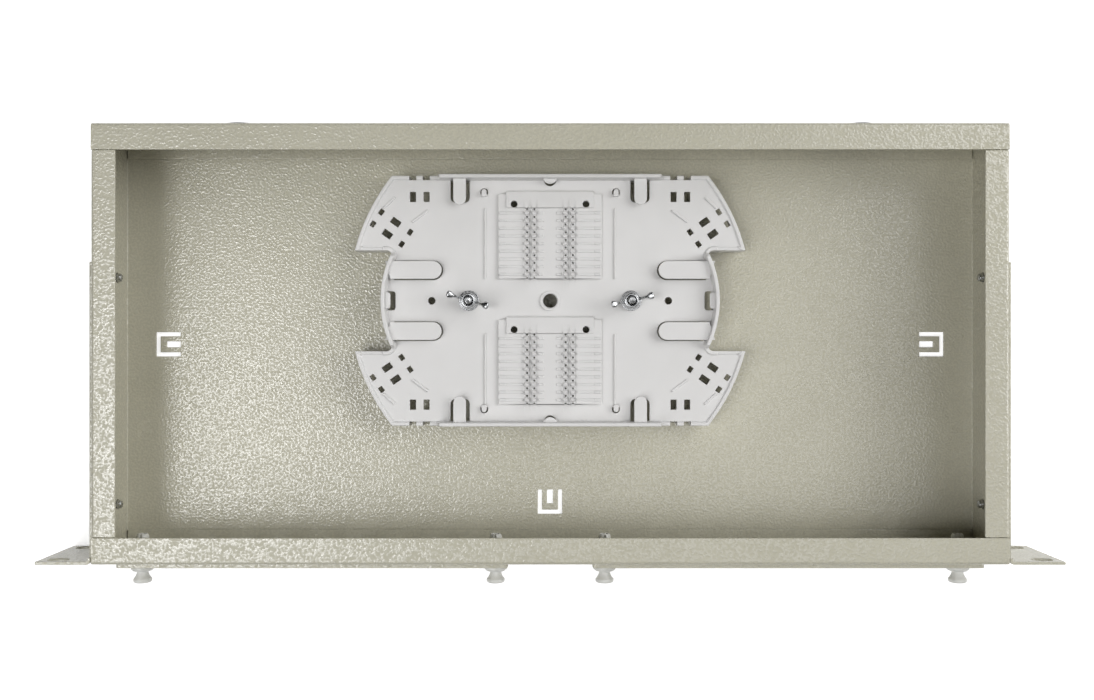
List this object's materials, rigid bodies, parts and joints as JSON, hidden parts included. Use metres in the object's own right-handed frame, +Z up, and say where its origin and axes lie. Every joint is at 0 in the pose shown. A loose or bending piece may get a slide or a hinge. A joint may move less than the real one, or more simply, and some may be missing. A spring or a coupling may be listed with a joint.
{
  "type": "fiber termination box",
  "caption": "Open low rack-mount metal box with a moulded splice tray on studs, removable front adapter plates held by push-pull plungers, and rack ears.",
  "frame": {"origin": "centre of the floor's underside, where the box rests", "axes": "+X to the right seen from the front, +Y to the rear, +Z up"},
  "size_m": [0.4826, 0.2224, 0.044],
  "materials": {
    "powder_coat": "beige-grey textured powder coat",
    "tray_plastic": "off-white moulded plastic",
    "zinc_steel": "bright zinc plate",
    "nylon": "natural nylon",
    "rubber": "matt black"
  },
  "bodies": {
    "case": {"base_pan": "powder_coat", "rear_wall": "powder_coat", "front_wall": "powder_coat", "splice_tray": "tray_plastic", "upper_sleeve_holder": "tray_plastic", "lower_sleeve_holder": "tray_plastic", "left_cable_grommet": "rubber", "left_rack_ear": "powder_coat", "left_rear_lower_ear_screw": "zinc_steel", "left_rear_upper_ear_screw": "zinc_steel", "left_front_lower_ear_screw": "zinc_steel", "left_front_upper_ear_screw": "zinc_steel", "left_tray_stud": "zinc_steel", "left_tray_spacer": "nylon", "right_cable_grommet": "rubber", "right_rack_ear": "powder_coat", "right_rear_lower_ear_screw": "zinc_steel", "right_rear_upper_ear_screw": "zinc_steel", "right_front_lower_ear_screw": "zinc_steel", "right_front_upper_ear_screw": "zinc_steel", "right_tray_stud": "zinc_steel", "right_tray_spacer": "nylon"},
    "left_washer_body": {"left_washer": "zinc_steel"},
    "left_nut_body": {"left_wing_nut": "zinc_steel"},
    "left_plate_body": {"left_adapter_plate": "powder_coat", "left_inner_grommet": "nylon", "left_outer_grommet": "nylon"},
    "left_inner_plunger_body": {"left_inner_plunger": "nylon"},
    "left_outer_plunger_body": {"left_outer_plunger": "nylon"},
    "right_washer_body": {"right_washer": "zinc_steel"},
    "right_nut_body": {"right_wing_nut": "zinc_steel"},
    "right_plate_body": {"right_adapter_plate": "powder_coat", "right_inner_grommet": "nylon", "right_outer_grommet": "nylon"},
    "right_inner_plunger_body": {"right_inner_plunger": "nylon"},
    "right_outer_plunger_body": {"right_outer_plunger": "nylon"}
  },
  "joints": [
    {"name": "left_washer_rise", "type": "slide", "parent": "case", "child": "left_washer_body", "axis": [0, 0, 1], "range_m": [0, 0.0042]},
    {"name": "left_nut_turn", "type": "hinge", "parent": "left_washer_body", "child": "left_nut_body", "pos_m": [-0.04, 0.0214, 0.0163], "axis": [0, 0, 1], "range_deg": [0, 2160]},
    {"name": "left_plate_pull", "type": "slide", "parent": "case", "child": "left_plate_body", "axis": [0, -1, 0], "range_m": [0, 0.01]},
    {"name": "left_inner_plunger_pull", "type": "slide", "parent": "left_plate_body", "child": "left_inner_plunger_body", "axis": [0, -1, 0], "range_m": [0, 0.0055]},
    {"name": "left_outer_plunger_pull", "type": "slide", "parent": "left_plate_body", "child": "left_outer_plunger_body", "axis": [0, -1, 0], "range_m": [0, 0.0055]},
    {"name": "right_washer_rise", "type": "slide", "parent": "case", "child": "right_washer_body", "axis": [0, 0, 1], "range_m": [0, 0.0042]},
    {"name": "right_nut_turn", "type": "hinge", "parent": "right_washer_body", "child": "right_nut_body", "pos_m": [0.04, 0.0214, 0.0163], "axis": [0, 0, 1], "range_deg": [0, 2160]},
    {"name": "right_plate_pull", "type": "slide", "parent": "case", "child": "right_plate_body", "axis": [0, -1, 0], "range_m": [0, 0.01]},
    {"name": "right_inner_plunger_pull", "type": "slide", "parent": "right_plate_body", "child": "right_inner_plunger_body", "axis": [0, -1, 0], "range_m": [0, 0.0055]},
    {"name": "right_outer_plunger_pull", "type": "slide", "parent": "right_plate_body", "child": "right_outer_plunger_body", "axis": [0, -1, 0], "range_m": [0, 0.0055]}
  ],
  "couplings": [
    {"joint": "left_nut_turn", "follows": "left_washer_rise", "rad_per_m": 8976},
    {"joint": "right_nut_turn", "follows": "right_washer_rise", "rad_per_m": 8976}
  ]
}
